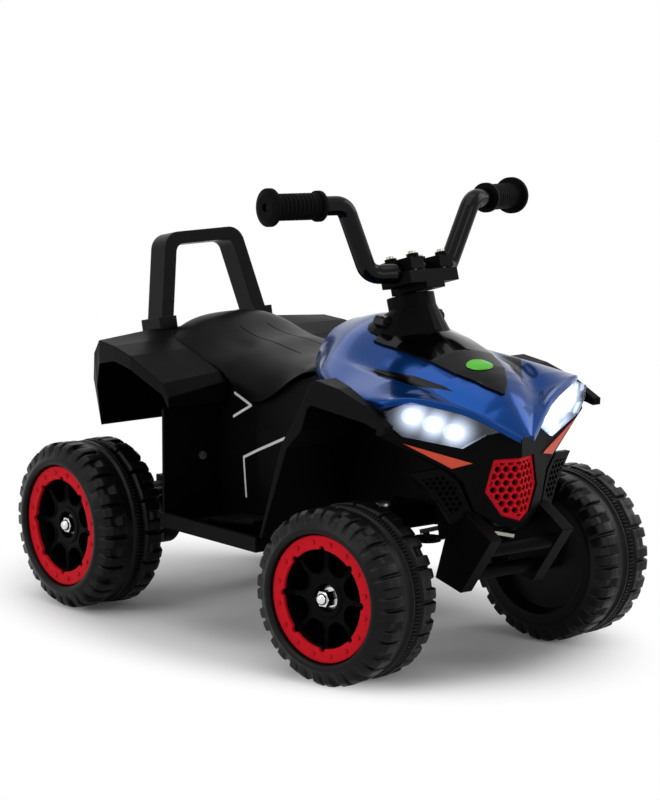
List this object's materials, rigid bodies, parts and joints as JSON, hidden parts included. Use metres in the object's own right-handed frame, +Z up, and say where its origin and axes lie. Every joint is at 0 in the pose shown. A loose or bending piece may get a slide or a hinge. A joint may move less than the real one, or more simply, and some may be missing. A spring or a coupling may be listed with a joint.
{
  "type": "kids ride-on quad bike",
  "caption": "Battery kids quad bike in black and blue with steered front wheels, handlebar, saddle seat, rear hoop and red-ringed wheels",
  "frame": {"origin": "centre of the bounding box on the ground under the wheels", "axes": "+Z up, -Y forward to the nose, -X to the rider's right; bars and front wheels rest turned 12 degrees left"},
  "size_m": [0.4614, 0.725, 0.5476],
  "materials": {
    "black_body_plastic": "satin moulded",
    "black_seat_plastic": "satin moulded",
    "black_hoop_plastic": "satin moulded",
    "blue_hood_plastic": "gloss metallic",
    "gloss_black_plastic": "gloss",
    "green_badge_plastic": "gloss",
    "red_trim_plastic": "satin moulded",
    "clear_lens_plastic": "clear",
    "white_led_plastic": "bright",
    "orange_reflector_plastic": "gloss",
    "black_tyre_plastic": "moulded",
    "black_spoke_plastic": "satin",
    "nylon_bush": "plain",
    "chrome_nut": "polished",
    "zinc_steel": "zinc plated",
    "black_painted_steel": "gloss powder coat",
    "grip_rubber": "moulded",
    "black_clamp_plastic": "moulded",
    "gear_nylon": "moulded",
    "gearbox_plastic": "moulded",
    "switch_plastic": "moulded"
  },
  "bodies": {
    "chassis": {"main_body": "black_body_plastic", "rear_deck": "black_body_plastic", "seat": "black_seat_plastic", "rear_hoop": "black_hoop_plastic", "hood": "blue_hood_plastic", "nose_panel": "gloss_black_plastic", "hood_badge": "green_badge_plastic", "steering_shroud": "black_body_plastic", "front_fender_right": "black_body_plastic", "front_fender_left": "black_body_plastic", "front_fascia": "black_body_plastic", "grille_insert": "red_trim_plastic", "bumper": "black_body_plastic", "side_vents": "black_body_plastic", "headlight_lenses": "clear_lens_plastic", "headlight_housings": "black_body_plastic", "led_modules": "white_led_plastic", "reflectors": "orange_reflector_plastic", "front_axle_beam": "black_painted_steel", "rear_axle": "zinc_steel", "hub_nuts_rear": "chrome_nut", "battery": "black_clamp_plastic", "gearbox_case": "gearbox_plastic", "motor": "zinc_steel", "charge_socket": "black_clamp_plastic", "body_screws": "zinc_steel"},
    "steering": {"steering_column": "black_painted_steel", "handlebar": "black_painted_steel", "grips": "grip_rubber", "clamp_base": "black_clamp_plastic", "clamp_caps": "black_clamp_plastic", "clamp_screws": "zinc_steel"},
    "steer_knuckle_right": {"knuckle_right": "zinc_steel", "hub_nut_front_right": "chrome_nut"},
    "steer_knuckle_left": {"knuckle_left": "zinc_steel", "hub_nut_front_left": "chrome_nut"},
    "track_rod": {"tie_rod": "black_painted_steel"},
    "idler": {"idler_gear": "gear_nylon"},
    "pinion": {"motor_pinion": "gear_nylon"},
    "foot_pedal": {"pedal": "black_clamp_plastic"},
    "power_rocker": {"power_switch": "switch_plastic"},
    "direction_rocker": {"direction_switch": "switch_plastic"},
    "wheel_front_right": {"tyre_front_right": "black_tyre_plastic", "spoke_cover_front_right": "black_spoke_plastic", "trim_ring_front_right": "red_trim_plastic", "wheel_bushes_front_right": "nylon_bush"},
    "wheel_front_left": {"tyre_front_left": "black_tyre_plastic", "spoke_cover_front_left": "black_spoke_plastic", "trim_ring_front_left": "red_trim_plastic", "wheel_bushes_front_left": "nylon_bush"},
    "wheel_rear_right": {"tyre_rear_right": "black_tyre_plastic", "spoke_cover_rear_right": "black_spoke_plastic", "trim_ring_rear_right": "red_trim_plastic", "wheel_bushes_rear_right": "nylon_bush", "drive_gear": "gear_nylon"},
    "wheel_rear_left": {"tyre_rear_left": "black_tyre_plastic", "spoke_cover_rear_left": "black_spoke_plastic", "trim_ring_rear_left": "red_trim_plastic", "wheel_bushes_rear_left": "nylon_bush"}
  },
  "joints": [
    {"name": "steering_turn", "type": "hinge", "parent": "chassis", "child": "steering", "pos_m": [0, -0.2275, 0.1303], "axis": [0, 0.2918, 0.9565], "range_deg": [-34, 10]},
    {"name": "knuckle_right_turn", "type": "hinge", "parent": "chassis", "child": "steer_knuckle_right", "pos_m": [-0.105, -0.2275, 0.1], "axis": [0, 0, 1], "range_deg": [-34, 10]},
    {"name": "knuckle_left_turn", "type": "hinge", "parent": "chassis", "child": "steer_knuckle_left", "pos_m": [0.105, -0.2275, 0.1], "axis": [0, 0, 1], "range_deg": [-34, 10]},
    {"name": "track_rod_turn", "type": "hinge", "parent": "steer_knuckle_right", "child": "track_rod", "pos_m": [-0.11332, -0.18837, 0.132], "axis": [0, 0, 1], "range_deg": [-10, 34]},
    {"name": "wheel_front_right_spin", "type": "hinge", "parent": "steer_knuckle_right", "child": "wheel_front_right", "pos_m": [-0.1676, -0.24081, 0.1], "axis": [0.9781, 0.2079, 0], "continuous": true},
    {"name": "wheel_front_left_spin", "type": "hinge", "parent": "steer_knuckle_left", "child": "wheel_front_left", "pos_m": [0.1676, -0.21419, 0.1], "axis": [0.9781, 0.2079, 0], "continuous": true},
    {"name": "wheel_rear_right_spin", "type": "hinge", "parent": "chassis", "child": "wheel_rear_right", "pos_m": [-0.169, 0.2625, 0.1], "axis": [1, 0, 0], "continuous": true},
    {"name": "wheel_rear_left_spin", "type": "hinge", "parent": "chassis", "child": "wheel_rear_left", "pos_m": [0.169, 0.2625, 0.1], "axis": [1, 0, 0], "continuous": true},
    {"name": "idler_spin", "type": "hinge", "parent": "chassis", "child": "idler", "pos_m": [-0.102, 0.22585, 0.11334], "axis": [1, 0, 0], "continuous": true},
    {"name": "pinion_spin", "type": "hinge", "parent": "chassis", "child": "pinion", "pos_m": [-0.095, 0.2033, 0.12155], "axis": [1, 0, 0], "continuous": true},
    {"name": "pedal_press", "type": "hinge", "parent": "chassis", "child": "foot_pedal", "pos_m": [-0.125, 0.04774, 0.132], "axis": [1, 0, 0], "range_deg": [0, 6], "stiffness_Nm_per_rad": 1.2, "springref_deg": -8.59},
    {"name": "power_rock", "type": "hinge", "parent": "chassis", "child": "power_rocker", "pos_m": [-0.038, -0.141, 0.381], "axis": [0, 1, 0], "range_deg": [-15, 15]},
    {"name": "direction_rock", "type": "hinge", "parent": "chassis", "child": "direction_rocker", "pos_m": [0.038, -0.141, 0.381], "axis": [0, 1, 0], "range_deg": [-15, 15]}
  ],
  "couplings": [
    {"joint": "knuckle_right_turn", "follows": "steering_turn", "ratio": 1},
    {"joint": "knuckle_left_turn", "follows": "steering_turn", "ratio": 1},
    {"joint": "track_rod_turn", "follows": "steering_turn", "ratio": -1},
    {"joint": "idler_spin", "follows": "wheel_rear_right_spin", "ratio": -3.3333},
    {"joint": "pinion_spin", "follows": "wheel_rear_right_spin", "ratio": 10}
  ]
}
